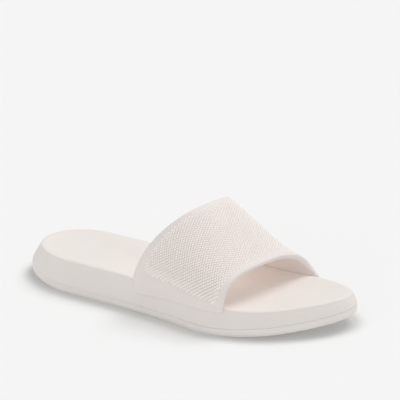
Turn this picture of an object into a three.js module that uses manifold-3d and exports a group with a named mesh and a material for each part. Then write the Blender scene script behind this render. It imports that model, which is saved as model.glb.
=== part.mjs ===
// One slide sandal for the right foot, moulded in off-white EVA foam and made of three pieces:
// an outsole, a midsole with the footbed on top, and one wide strap, the hollow upper.
// Millimetres, +Z up, toe towards +X, the inner (big toe) side towards +Y.
import * as THREE from 'three';
import { mergeVertices } from 'three/addons/utils/BufferGeometryUtils.js';
import Module from 'manifold-3d';

// Sizes of the sole seen from above
const SOLE_LENGTH = 265;
const HEEL_WIDTH = 69.5;
const WAIST_WIDTH = 70.5;
const BALL_WIDTH = 93.5;
const TOE_TIP_OFFSET = 16; // from the length axis to the tip of the toe, inwards
const HEEL_ROUND = 48; // length of the rounded heel end
const TOE_ROUND_OUTER = 99; // length of the rounded toe end, outer side
const TOE_ROUND_INNER = 56; // and inner side

// Heights
const HEEL_RIM_HEIGHT = 26; // floor to the rim of the footbed
const BALL_RIM_HEIGHT = 21;
const TOE_RIM_HEIGHT = 25.4;
const OUTSOLE_HEIGHT = 6; // floor to the line between outsole and midsole
const TOE_SPRING = 9; // rise of the underside at the tip of the toe
const HEEL_LIFT = 3.2; // rise of the underside at the back of the heel
const ARCH_RISE = 1.2; // rise of the underside at the waist

// Side of the sole
const RIM_SLOPE = 2.9; // how far the rim lies inside the widest line
const HEEL_SLOPE = 4.6; // and how much further inside at the back of the heel
const RIM_ROUND = 1.6; // rounding of the rim's outer edge
const RIM_FLAT = 2.2; // width of the rim's top
const FOOT_BEVEL = 1; // how far the underside lies inside the widest line
const HEEL_BEVEL = 3; // and how much further inside at the back of the heel
const TOE_BEVEL = 1.2; // and at the tip of the toe
const LINE_GROOVE = 0.9; // depth of the groove between outsole and midsole
const LINE_CHAMFER = 1; // height of the slope on each side of that groove
const FOOTBED_DEPTH = 3.6; // dish of the footbed below its rim at the heel
const ARCH_SUPPORT = 4; // rise of the footbed under the arch of the foot
const TREAD_DEPTH = 1.6;
const TREAD_WIDTH = 3;
const TREAD_PITCH = 9;
const TREAD_MARGIN = 11; // from the ends of a tread groove to the side of the sole
const TREAD_WAVE = 2.4; // swing of a tread groove to each side of its straight line

// Strap
const STRAP_REAR_RISE = 56; // rim to the top of the strap's rear edge
const STRAP_FRONT_RISE = 24.2;
const STRAP_REAR_LEAN = 32; // how far the top of the rear edge lies before its ends
const STRAP_FRONT_LEAN = 1;
const INNER_FLARE = 7.5; // how far the front edge sweeps forward at its inner end
const STRAP_CROWN_OFFSET = 3.5; // how far the top of the arch lies to the inner side
const STRAP_WALL = 3.8;
const TAB_WALL = 2; // the strap's wall where it lies on the side of the sole
const TAB_DROP_REAR = 10.5; // rim to the lower edge of the tab, at its rear end
const TAB_DROP_FRONT = 2.4;
const TAB_CORNER = 5; // rounding of the tab's lower rear corner
const LIP_WIDTH = 5.2; // raised lip along the strap's front edge
const LIP_STEP = 0.5; // how far it stands out
const LIP_RAMP = 1.2; // width of the slope behind it
const EDGE_ROUND = 1.2; // rounding of the strap's edges
const CLEARANCE = 0.3; // between pieces that are bonded

// Mesh fineness
const SOLE_STATIONS = 40;
const TREAD_STEPS = 10;
const FOOTBED_COLUMNS = 10;
const ARCH_STEPS = 28;
const CROWN_ANGLE = 0.045; // from the crown of the arch to the next row of points, radians
const SPAN_STEPS = 8; // along the strap, from its rear edge to the lip

// Half widths of the widest line, each a share of the width that its row names
const OUTLINE_ROWS = [
  { at: 0.0, width: HEEL_WIDTH, outer: 0.455, inner: 0.51 },
  { at: 0.14, width: HEEL_WIDTH, outer: 0.5, inner: 0.5 },
  { at: 0.35, width: WAIST_WIDTH, outer: 0.548, inner: 0.452 },
  { at: 0.52, width: BALL_WIDTH, outer: 0.474, inner: 0.437 },
  { at: 0.66, width: BALL_WIDTH, outer: 0.538, inner: 0.462 },
  { at: 0.8, width: BALL_WIDTH, outer: 0.508, inner: 0.466 },
  { at: 1.0, width: BALL_WIDTH, outer: 0.33, inner: 0.405 },
];

// Height of the rim, a share of the height that its row names
const RIM_ROWS = [
  { at: 0.0, height: HEEL_RIM_HEIGHT, rim: 1.0 },
  { at: 0.3, height: HEEL_RIM_HEIGHT, rim: 1.01 },
  { at: 0.5, height: HEEL_RIM_HEIGHT, rim: 0.985 },
  { at: 0.75, height: BALL_RIM_HEIGHT, rim: 1.0 },
  { at: 1.0, height: TOE_RIM_HEIGHT, rim: 1.0 },
];

// Rise of both ends from the floor, a share of the rise that its row names, and the height of
// the line between outsole and midsole above it, a share of the outsole's height
const LIFT_ROWS = [
  { at: 0.0, rise: HEEL_LIFT, lift: 1.0, line: 1.1 },
  { at: 0.05, rise: HEEL_LIFT, lift: 0.4, line: 1.05 },
  { at: 0.13, rise: HEEL_LIFT, lift: 0.0, line: 1.0 },
  { at: 0.5, rise: TOE_SPRING, lift: 0.0, line: 0.94 },
  { at: 0.67, rise: TOE_SPRING, lift: 0.0, line: 0.98 },
  { at: 0.8, rise: TOE_SPRING, lift: 0.26, line: 1.03 },
  { at: 0.9, rise: TOE_SPRING, lift: 0.6, line: 1.1 },
  { at: 1.0, rise: TOE_SPRING, lift: 1.0, line: 1.15 },
];

// Rise of the underside at the waist, as a share of the arch rise
const ARCH_ROWS = [
  { at: 0.0, arch: 0.0 },
  { at: 0.32, arch: 0.0 },
  { at: 0.45, arch: 1.0 },
  { at: 0.58, arch: 0.0 },
  { at: 1.0, arch: 0.0 },
];

// Shares of the footbed's depth and of its rise under the arch of the foot
const FOOTBED_ROWS = [
  { at: 0.0, dish: 0.5, support: 0.0 },
  { at: 0.16, dish: 1.0, support: 0.1 },
  { at: 0.4, dish: 0.75, support: 1.0 },
  { at: 0.66, dish: 0.6, support: 0.1 },
  { at: 1.0, dish: 0.35, support: 0.0 },
];

// Strap sections from the rear edge to the front edge. The ends are shares of the sole's
// length, rise and lean go from the rear size (1) to the front size (0), and outer and inner
// are the exponents of the arch on each side, 2 being an ellipse.
const STRAP_ROWS = [
  { at: 0.0, outerEnd: 0.408, innerEnd: 0.49, rise: 1.0, lean: 1.0, outer: 3.0, inner: 2.9 },
  { at: 0.3, outerEnd: 0.498, innerEnd: 0.59, rise: 0.72, lean: 0.7, outer: 2.8, inner: 2.6 },
  { at: 0.65, outerEnd: 0.605, innerEnd: 0.702, rise: 0.365, lean: 0.35, outer: 3.2, inner: 2.3 },
  { at: 1.0, outerEnd: 0.713, innerEnd: 0.811, rise: 0.0, lean: 0.0, outer: 3.6, inner: 2.0 },
];

// Where the tread grooves lie, shares of the sole's length
const TREAD_PADS = [
  { from: 0.1, to: 0.31 },
  { from: 0.56, to: 0.86 },
];

// Outsole's side from the underside (0) to the line (1), with the share of the bevel there
const OUTSOLE_SIDE_ROWS = [
  { up: 0.0, bevel: 1.0 },
  { up: 0.25, bevel: 0.3 },
  { up: 0.5, bevel: 0.0 },
];

// Heights of the midsole's side from the line (0) to the rim's rounding (1)
const MIDSOLE_SIDE_ROWS = [{ up: 0.0 }, { up: 0.3 }, { up: 0.65 }, { up: 1.0 }];

const END_SQUARENESS = 2.1; // exponent of the sole's round ends, 2 being an ellipse
const INNER_SQUARENESS = 2.24; // and of the toe end on the inner side
const WALL_CURVE = 1.25; // exponent of the midsole's side, 1 being a straight slope
const DISH_CURVE = 2.5; // exponent of the footbed's dish from side to side
const SUPPORT_CURVE = 4; // exponent with which the support under the arch fades at the rim
const LEAN_CURVE = 1.6; // exponent of the arch's lean over its height, 1 being straight
const FLARE_CURVE = 4; // exponent with which the inner flare fades up the arch
const WALL_GROWTH = 3; // how fast the strap's wall thickens above the rim
const TAB_FLAT_SHARE = 0.4; // part of the tab's wall that is flat at its lower edge
const OUTER_ARCH_SHARE = 0.4; // rise of the underside's outer side, of that of the inner side
const TREAD_LIFT = 1; // how far a groove's cutter reaches below the underside
const MERGE = 1e-3; // points this close are one

// A smooth curve through the rows of a table, as a function of the share along it
function column(rows, value) {
  const at = rows.map((row) => row.at);
  const y = rows.map(value);
  const chord = y.slice(1).map((next, i) => (next - y[i]) / (at[i + 1] - at[i]));
  const slope = y.map((_, i) => {
    const before = chord[Math.max(i - 1, 0)];
    const after = chord[Math.min(i, chord.length - 1)];
    return before * after > 0 ? (2 * before * after) / (before + after) : 0;
  });
  return (share) => {
    let i = at.findIndex((edge) => edge >= share) - 1;
    i = Math.min(Math.max(i, 0), chord.length - 1);
    const h = at[i + 1] - at[i];
    const t = (share - at[i]) / h;
    const rise = t * t * (3 - 2 * t);
    return y[i] + (y[i + 1] - y[i]) * rise
      + h * t * (1 - t) * (slope[i] * (1 - t) - slope[i + 1] * t);
  };
}

const outerWidth = column(OUTLINE_ROWS, (row) => row.width * row.outer);
const innerWidth = column(OUTLINE_ROWS, (row) => row.width * row.inner);
const rimHeight = column(RIM_ROWS, (row) => row.height * row.rim);
const lift = column(LIFT_ROWS, (row) => row.rise * row.lift);
const lineRise = column(LIFT_ROWS, (row) => row.line);
const archRise = column(ARCH_ROWS, (row) => row.arch);
const dish = column(FOOTBED_ROWS, (row) => row.dish);
const support = column(FOOTBED_ROWS, (row) => row.support);
const strapOuterEnd = column(STRAP_ROWS, (row) => row.outerEnd);
const strapInnerEnd = column(STRAP_ROWS, (row) => row.innerEnd);
const strapRise = column(STRAP_ROWS, (row) => row.rise);
const strapLean = column(STRAP_ROWS, (row) => row.lean);
const strapOuterSquare = column(STRAP_ROWS, (row) => row.outer);
const strapInnerSquare = column(STRAP_ROWS, (row) => row.inner);

const mix = (a, b, t) => a + (b - a) * t;
const smooth = (t) => THREE.MathUtils.smoothstep(t, 0, 1);

// Width of a rounded end: 0 at its tip, 1 from the depth where the end begins
function roundEnd(depth, squareness) {
  const left = 1 - Math.min(depth, 1);
  return (1 - left ** squareness) ** (1 / squareness);
}

// Side to side place of the widest line on one side of the sole
function outlineY(share, side) {
  const x = share * SOLE_LENGTH;
  const heel = roundEnd(x / HEEL_ROUND, END_SQUARENESS);
  const fromTip = SOLE_LENGTH - x;
  if (side < 0) {
    const toe = roundEnd(fromTip / TOE_ROUND_OUTER, END_SQUARENESS);
    return TOE_TIP_OFFSET * (1 - toe) - outerWidth(share) * heel * toe;
  }
  const toe = roundEnd(fromTip / TOE_ROUND_INNER, INNER_SQUARENESS);
  return TOE_TIP_OFFSET * (1 - toe) + innerWidth(share) * heel * toe;
}

// Points of the widest line, anticlockwise from the heel along the outer side (side -1) to
// the toe and back along the inner side (side 1), each with its outward normal
function outline() {
  const points = [];
  const count = 2 * SOLE_STATIONS;
  for (let i = 0; i < count; i += 1) {
    const share = (1 - Math.cos((i / SOLE_STATIONS) * Math.PI)) / 2;
    const side = i <= SOLE_STATIONS ? -1 : 1;
    points.push({ share, side, x: share * SOLE_LENGTH, y: outlineY(share, side) });
  }
  points.forEach((point, i) => {
    const before = points[(i + count - 1) % count];
    const after = points[(i + 1) % count];
    const length = Math.hypot(after.x - before.x, after.y - before.y);
    point.nx = (after.y - before.y) / length;
    point.ny = (before.x - after.x) / length;
  });
  return points;
}

const OUTLINE = outline();

// The outline drawn in by a distance at a height, both functions of a point
function ring(inset, height) {
  return OUTLINE.map((point) => {
    const by = inset(point);
    return new THREE.Vector3(point.x - point.nx * by, point.y - point.ny * by, height(point));
  });
}

// Nearness to the back of the heel, or to the tip of the toe: 1 there, 0 past the rounded end
const heelShare = (share) => Math.max(0, 1 - (share * SOLE_LENGTH) / HEEL_ROUND) ** 2;
const toeShare = (share) => Math.max(0, 1 - ((1 - share) * SOLE_LENGTH) / TOE_ROUND_INNER) ** 2;

const rimInset = (share) => RIM_SLOPE + HEEL_SLOPE * heelShare(share);
const bevel = (share) => FOOT_BEVEL + HEEL_BEVEL * heelShare(share) + TOE_BEVEL * toeShare(share);
const lineHeight = (share) => lift(share) + OUTSOLE_HEIGHT * lineRise(share);
const undersideHeight = (point) => {
  const sideShare = point.side < 0 ? OUTER_ARCH_SHARE : 1;
  return lift(point.share) + ARCH_RISE * sideShare * archRise(point.share);
};

// How far the midsole's wall lies inside the widest line at a height
function wallInset(share, height) {
  const foot = lineHeight(share) + LINE_CHAMFER;
  const top = rimHeight(share) - RIM_ROUND;
  const t = THREE.MathUtils.clamp((height - foot) / (top - foot), 0, 1);
  return rimInset(share) * t ** WALL_CURVE;
}

// Triangles of one closed body
class Shell {
  constructor() {
    this.positions = [];
  }

  triangle(a, b, c) {
    if (a.distanceTo(b) < MERGE || b.distanceTo(c) < MERGE || c.distanceTo(a) < MERGE) return;
    this.positions.push(...a.toArray(), ...b.toArray(), ...c.toArray());
  }

  quad(a, b, c, d) {
    this.triangle(a, b, c);
    this.triangle(a, c, d);
  }

  // A strip between two lines of points, closed into a band when they are rings
  band(lower, upper, closed = true) {
    const count = closed ? lower.length : lower.length - 1;
    for (let i = 0; i < count; i += 1) {
      const next = (i + 1) % lower.length;
      this.quad(lower[i], lower[next], upper[next], upper[i]);
    }
  }

  // A face over a ring of the sole, in rows from the outer to the inner side, facing up or down
  face(edge, columns, up, between) {
    const rows = [];
    for (let i = 0; i <= SOLE_STATIONS; i += 1) {
      const outer = edge[i];
      const inner = edge[(edge.length - i) % edge.length];
      const row = [outer];
      for (let c = 1; c < columns; c += 1) {
        row.push(between(OUTLINE[i].share, outer, inner, -Math.cos((c / columns) * Math.PI)));
      }
      row.push(inner);
      rows.push(i === 0 || i === SOLE_STATIONS ? row.map(() => outer) : row);
    }
    for (let i = 0; i < SOLE_STATIONS; i += 1) {
      if (up) this.band(rows[i + 1], rows[i], false);
      else this.band(rows[i], rows[i + 1], false);
    }
  }

  geometry() {
    const geometry = new THREE.BufferGeometry();
    geometry.setAttribute('position', new THREE.Float32BufferAttribute(this.positions, 3));
    return geometry;
  }
}

const wasm = await Module();
wasm.setup();

// A closed geometry as a solid for cutting
function toSolid(geometry) {
  const bare = geometry.clone();
  bare.deleteAttribute('normal');
  bare.deleteAttribute('uv');
  const merged = mergeVertices(bare, MERGE);
  return new wasm.Manifold(new wasm.Mesh({
    numProp: 3,
    vertProperties: merged.attributes.position.array,
    triVerts: new Uint32Array(merged.index.array),
  }));
}

function fromSolid(solid) {
  const mesh = solid.getMesh();
  const geometry = new THREE.BufferGeometry();
  geometry.setAttribute('position', new THREE.BufferAttribute(mesh.vertProperties, 3));
  geometry.setIndex(new THREE.BufferAttribute(mesh.triVerts, 1));
  return geometry;
}

// Cutter of one wavy tread groove that runs across the sole
function treadCutter(share) {
  const x = share * SOLE_LENGTH;
  const from = outlineY(share, -1) + TREAD_MARGIN;
  const to = outlineY(share, 1) - TREAD_MARGIN;
  const wave = (t) => x + TREAD_WAVE * Math.sin(t * 2 * Math.PI);
  const line = Array.from({ length: TREAD_STEPS + 1 }, (_, i) => i / TREAD_STEPS);
  const rear = line.map((t) => new THREE.Vector2(wave(t) - TREAD_WIDTH / 2, mix(from, to, t)));
  const front = line.map((t) => new THREE.Vector2(wave(t) + TREAD_WIDTH / 2, mix(from, to, t)));
  const shape = new THREE.Shape([...front, ...rear.reverse()]);
  const options = { depth: TREAD_DEPTH + TREAD_LIFT, bevelEnabled: false, steps: 1 };
  const cutter = new THREE.ExtrudeGeometry(shape, options);
  return cutter.translate(0, 0, lift(share) - TREAD_LIFT);
}

// Outsole: bevelled underside, upright side, top face on the line, and the tread grooves
function buildOutsole() {
  const line = (point) => lineHeight(point.share);
  const rings = [
    ...OUTSOLE_SIDE_ROWS.map((row) => ring(
      (point) => bevel(point.share) * row.bevel,
      (point) => mix(undersideHeight(point), line(point), row.up),
    )),
    ring(() => 0, (point) => line(point) - LINE_CHAMFER),
    ring(() => LINE_GROOVE, line),
  ];
  const shell = new Shell();
  shell.face(rings[0], 1, false);
  rings.slice(1).forEach((upper, i) => shell.band(rings[i], upper));
  shell.face(rings.at(-1), 1, true);
  let solid = toSolid(shell.geometry());
  TREAD_PADS.forEach(({ from, to }) => {
    const count = Math.round(((to - from) * SOLE_LENGTH) / TREAD_PITCH);
    for (let i = 0; i <= count; i += 1) {
      solid = solid.subtract(toSolid(treadCutter(mix(from, to, i / count))));
    }
  });
  return fromSolid(solid);
}

// Place on the footbed: t goes from -1 at the outer side of the rim to 1 at the inner side
function footbedPoint(share, outer, inner, t) {
  const point = outer.clone().lerp(inner, (t + 1) / 2);
  const narrow = smooth((inner.y - outer.y) / HEEL_WIDTH);
  point.z -= FOOTBED_DEPTH * dish(share) * narrow * (1 - Math.abs(t) ** DISH_CURVE);
  point.z += ARCH_SUPPORT * support(share) * smooth(t) * (1 - Math.abs(t) ** SUPPORT_CURVE);
  return point;
}

// Midsole: sloping side from the groove up to the rounded rim, with the footbed inside it
function buildMidsole() {
  const foot = (point) => lineHeight(point.share) + CLEARANCE;
  const top = (point) => rimHeight(point.share) - RIM_ROUND;
  const wall = (t) => ring(
    (point) => wallInset(point.share, mix(foot(point) + LINE_CHAMFER, top(point), t)),
    (point) => mix(foot(point) + LINE_CHAMFER, top(point), t),
  );
  const rim = (angle) => ring(
    (point) => rimInset(point.share) + RIM_ROUND * (1 - Math.cos(angle)),
    (point) => top(point) + RIM_ROUND * Math.sin(angle),
  );
  const rings = [
    ring(() => LINE_GROOVE, foot),
    ...MIDSOLE_SIDE_ROWS.map((row) => wall(row.up)),
    rim(Math.PI / 4),
    rim(Math.PI / 2),
    ring((point) => rimInset(point.share) + RIM_ROUND + RIM_FLAT, (point) => rimHeight(point.share)),
  ];
  const shell = new Shell();
  shell.face(rings[0], 1, false);
  rings.slice(1).forEach((upper, i) => shell.band(rings[i], upper));
  shell.face(rings.at(-1), FOOTBED_COLUMNS, true, footbedPoint);
  return shell.geometry();
}

// Place on the side of the sole's widest line, with the way outwards
function sideAt(share, side) {
  const step = 1e-3;
  const dx = 2 * step * SOLE_LENGTH;
  const dy = outlineY(share + step, side) - outlineY(share - step, side);
  const length = Math.hypot(dx, dy) * -side;
  const x = share * SOLE_LENGTH;
  return { share, side, x, y: outlineY(share, side), nx: dy / length, ny: -dx / length };
}

// Point off the midsole's wall by a distance, at a height
function offWall(place, distance, height) {
  const inset = wallInset(place.share, height) - distance;
  return new THREE.Vector3(place.x - place.nx * inset, place.y - place.ny * inset, height);
}

const STRAP_SPAN = (strapOuterEnd(1) - strapOuterEnd(0)) * SOLE_LENGTH;

// Place on the sole's side under the strap: v from 0 at its rear edge to 1 at its front edge,
// and how far up the arch the point above it lies
function strapFoot(side, v, up) {
  if (side < 0) return sideAt(strapOuterEnd(v), side);
  const flare = (INNER_FLARE / SOLE_LENGTH) * v * (1 - up) ** FLARE_CURVE;
  return sideAt(strapInnerEnd(v) + flare, side);
}

// Point of the strap's arch, outer skin: angle 0 at the outer end to pi at the inner end, and
// v from 0 at the rear edge to 1 at the front edge
function archPoint(angle, v) {
  const skin = CLEARANCE + TAB_WALL;
  const up = Math.sin(angle);
  const [a, b] = [strapFoot(-1, v, up), strapFoot(1, v, up)]
    .map((place) => offWall(place, skin, rimHeight(place.share)));
  const toOuter = Math.cos(angle) > 0 ? 1 : -1;
  const power = toOuter > 0 ? strapOuterSquare(v) : strapInnerSquare(v);
  const point = a.lerp(b, (1 - toOuter * (1 - up ** power) ** (1 / power)) / 2);
  point.x += mix(STRAP_FRONT_LEAN, STRAP_REAR_LEAN, strapLean(v)) * up ** LEAN_CURVE;
  point.y += STRAP_CROWN_OFFSET * up;
  point.z += mix(STRAP_FRONT_RISE, STRAP_REAR_RISE, strapRise(v)) * up;
  return point;
}

// Outward normal of the arch
function archNormal(angle, v) {
  const step = 1e-3;
  const [a0, a1] = [Math.max(angle - step, 0), Math.min(angle + step, Math.PI)];
  const [v0, v1] = [Math.max(v - step, 0), Math.min(v + step, 1)];
  const along = archPoint(angle, v1).sub(archPoint(angle, v0));
  const around = archPoint(a1, v).sub(archPoint(a0, v));
  return along.cross(around).normalize();
}

// How far the tab reaches below the rim, with its rounded lower rear corner
function tabDrop(v) {
  const left = 1 - Math.min((v * STRAP_SPAN) / TAB_CORNER, 1);
  return mix(TAB_DROP_REAR, TAB_DROP_FRONT, v) - TAB_CORNER * (1 - Math.sqrt(1 - left * left));
}

// How far the outer skin stands out at a place along the strap: the lip and the slope behind it
function lipRise(v) {
  return LIP_STEP * smooth(1 - ((1 - v) * STRAP_SPAN - LIP_WIDTH) / LIP_RAMP);
}

// Point of a tab: t from its lower edge (0) to the rim (1), depth from the outer skin (0) to
// the inner skin (1)
function tabPoint(side, t, v, depth) {
  const place = strapFoot(side, v, 0);
  const rim = rimHeight(place.share);
  const height = mix(rim - tabDrop(v), rim, t);
  const skin = TAB_WALL + lipRise(v) * t;
  return offWall(place, CLEARANCE + skin * (1 - depth), height);
}

// Point of the arch, at a depth in its wall as on the tabs
function archWallPoint(angle, v, depth) {
  const wall = mix(TAB_WALL, STRAP_WALL, smooth(WALL_GROWTH * Math.sin(angle)));
  const out = lipRise(v) * (1 - depth) - wall * depth;
  return archPoint(angle, v).addScaledVector(archNormal(angle, v), out);
}

// Strap: one hollow arch whose tabs lie on both sides of the sole, with rounded edges all
// round and a raised lip along its front edge
function buildStrap() {
  const share = (distance) => distance / STRAP_SPAN;
  const lipFoot = 1 - share(LIP_WIDTH + LIP_RAMP);
  const places = [];
  for (let i = 0; i <= SPAN_STEPS; i += 1) {
    places.push(mix(share(EDGE_ROUND), lipFoot, i / SPAN_STEPS));
  }
  places.push(1 - share(LIP_WIDTH), 1 - share(LIP_WIDTH / 2), 1 - share(EDGE_ROUND));

  // Once round the wall at one place of the arch or a tab
  const loop = (point, outer = 0, inner = 1) => [
    ...places.map((v) => point(v, outer)),
    point(1, 0.5),
    ...places.map((v) => point(v, inner)).reverse(),
    point(0, 0.5),
  ];
  const tab = (side) => {
    const roundShare = EDGE_ROUND / TAB_DROP_REAR;
    const edge = (1 - TAB_FLAT_SHARE) / 2;
    return [
      loop((v, depth) => tabPoint(side, 0, v, depth), edge, 1 - edge),
      loop((v, depth) => tabPoint(side, roundShare, v, depth)),
      loop((v, depth) => tabPoint(side, mix(roundShare, 1, 0.5), v, depth)),
      loop((v, depth) => tabPoint(side, 1, v, depth)),
    ];
  };
  const angles = [];
  for (let i = 0.5; i < ARCH_STEPS / 2; i += i < 1 ? 0.5 : 1) {
    angles.push((i / ARCH_STEPS) * Math.PI);
  }
  angles.push(Math.PI / 2 - CROWN_ANGLE);
  const around = [...angles, Math.PI / 2, ...angles.map((angle) => Math.PI - angle).reverse()];
  const loops = [
    ...tab(-1),
    ...around.map((angle) => loop((v, depth) => archWallPoint(angle, v, depth))),
    ...tab(1).reverse(),
  ];

  const shell = new Shell();
  loops.slice(1).forEach((upper, i) => shell.band(loops[i], upper));
  const halves = (line) => {
    const mids = line.length / 2;
    const outer = [line.at(-1), ...line.slice(0, mids)];
    const inner = [line.at(-1), ...line.slice(mids - 1, -1).reverse()];
    return [outer, inner];
  };
  const [outerEnd, outerEndInside] = halves(loops[0]);
  shell.band(outerEndInside, outerEnd, false);
  const [innerEnd, innerEndInside] = halves(loops.at(-1));
  shell.band(innerEnd, innerEndInside, false);
  return shell.geometry();
}

const FOAM = { color: 0xebe6e2, roughness: 0.62, metalness: 0 };

// A named piece of the slide
function piece(name, geometry, finish) {
  const mesh = new THREE.Mesh(geometry, new THREE.MeshStandardMaterial(finish));
  mesh.name = name;
  geometry.computeVertexNormals();
  return mesh;
}

const slide = new THREE.Group();
slide.add(
  piece('outsole', buildOutsole(), { ...FOAM, roughness: 0.7 }),
  piece('midsole', buildMidsole(), FOAM),
  piece('strap', buildStrap(), FOAM),
);

// The origin lies on the floor below the middle of the slide
const middle = new THREE.Box3().setFromObject(slide).getCenter(new THREE.Vector3());
slide.position.set(-middle.x, -middle.y, 0);

export default slide;
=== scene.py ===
"""A slide sandal for the right foot, moulded in off-white EVA foam.

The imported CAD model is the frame. Three pieces stand for its solids, with finer surfaces of the
same sizes: the outsole with its tread, the midsole with the footbed, and the strap with its
raised lip and its field of low dots. Sizes are millimetres and become metres where a mesh is made.
"""

import logging
import math
from dataclasses import dataclass, field
from enum import Enum
from functools import partial
from typing import Any, Callable, NamedTuple, Sequence

import bpy
import numpy as np
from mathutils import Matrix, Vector


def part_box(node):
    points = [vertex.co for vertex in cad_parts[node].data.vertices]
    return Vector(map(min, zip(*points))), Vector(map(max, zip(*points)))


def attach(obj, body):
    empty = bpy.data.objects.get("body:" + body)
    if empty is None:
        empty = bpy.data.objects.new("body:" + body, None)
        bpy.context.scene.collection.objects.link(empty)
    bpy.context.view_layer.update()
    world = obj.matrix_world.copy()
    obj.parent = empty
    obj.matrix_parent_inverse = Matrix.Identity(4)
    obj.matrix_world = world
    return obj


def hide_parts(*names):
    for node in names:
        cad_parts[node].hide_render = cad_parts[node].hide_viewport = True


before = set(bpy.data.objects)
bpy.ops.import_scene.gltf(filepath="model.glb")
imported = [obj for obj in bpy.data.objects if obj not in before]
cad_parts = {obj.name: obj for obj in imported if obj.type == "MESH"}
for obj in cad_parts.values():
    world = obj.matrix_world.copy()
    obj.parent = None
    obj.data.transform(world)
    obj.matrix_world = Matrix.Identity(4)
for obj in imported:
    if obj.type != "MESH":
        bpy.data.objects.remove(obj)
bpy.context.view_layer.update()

LOG = logging.getLogger("slide")
MM = 0.001  # one millimetre in Blender's metres
BODY = "root"
Array = np.ndarray


class Side(Enum):
    """One side of the sole, with the sign of its half width."""

    OUTER = -1
    INNER = 1


class Facing(Enum):
    """Which way a face over a ring of the sole looks."""

    DOWN = 0
    UP = 1


# Small helpers


def mix(a: Any, b: Any, t: Any) -> Any:
    """Value between a (t = 0) and b (t = 1)."""
    return a + (b - a) * t


def smooth(t: Any) -> Any:
    """Smooth step from 0 to 1 as t goes from 0 to 1."""
    t = np.clip(t, 0.0, 1.0)
    return t * t * (3.0 - 2.0 * t)


def unit(vectors: Array) -> Array:
    """Vectors scaled to length 1 along the last axis."""
    return vectors / np.linalg.norm(vectors, axis=-1, keepdims=True)


def linear(hex_colour: str, alpha: float = 1.0) -> tuple[float, float, float, float]:
    """Turns an sRGB hex colour into linear values.

    Args:
        hex_colour: Six hex digits, such as "ebe6e2".
        alpha: The fourth value.

    Returns:
        Linear red, green and blue, and alpha.
    """
    shares = (int(hex_colour[i:i + 2], 16) / 255 for i in (0, 2, 4))
    red, green, blue = (s / 12.92 if s <= 0.04045 else ((s + 0.055) / 1.055) ** 2.4 for s in shares)
    return red, green, blue, alpha


def add_node(
    tree: bpy.types.NodeTree,
    kind: str,
    settings: dict[str, Any] | None = None,
    inputs: dict[str | int, Any] | None = None,
) -> bpy.types.Node:
    """Adds a node to a shader or geometry tree.

    Args:
        tree: The tree that gets the node.
        kind: The node's type name.
        settings: Values of the node's own properties.
        inputs: For each input, by name or number, its value or the socket that feeds it.

    Returns:
        The new node.
    """
    node = tree.nodes.new(kind)
    for name, value in (settings or {}).items():
        setattr(node, name, value)
    for key, value in (inputs or {}).items():
        if isinstance(value, bpy.types.NodeSocket):
            tree.links.new(value, node.inputs[key])
        else:
            node.inputs[key].default_value = value
    return node


class Curve:
    """A smooth curve through the rows of a table, the same as the solids are made with."""

    def __init__(self, at: Sequence[float], values: Sequence[float]) -> None:
        """Works out the slope at each row.

        Args:
            at: Place of each row along the curve, rising.
            values: The value at each row.
        """
        self.at = np.array(at)
        self.values = np.array(values)
        chord = np.diff(self.values) / np.diff(self.at)
        before = np.concatenate([chord[:1], chord])
        after = np.concatenate([chord, chord[-1:]])
        both = before * after > 0
        total = np.where(both, before + after, 1.0)
        self.slope = np.where(both, 2 * before * after / total, 0.0)

    def __call__(self, share: Array | float) -> Array:
        """Value at a share of the way along."""
        share = np.asarray(share, float)
        i = np.clip(np.searchsorted(self.at, share) - 1, 0, len(self.at) - 2)
        h = self.at[i + 1] - self.at[i]
        t = (share - self.at[i]) / h
        rise = t * t * (3 - 2 * t)
        bend = self.slope[i] * (1 - t) - self.slope[i + 1] * t
        return mix(self.values[i], self.values[i + 1], rise) + h * t * (1 - t) * bend


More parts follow.
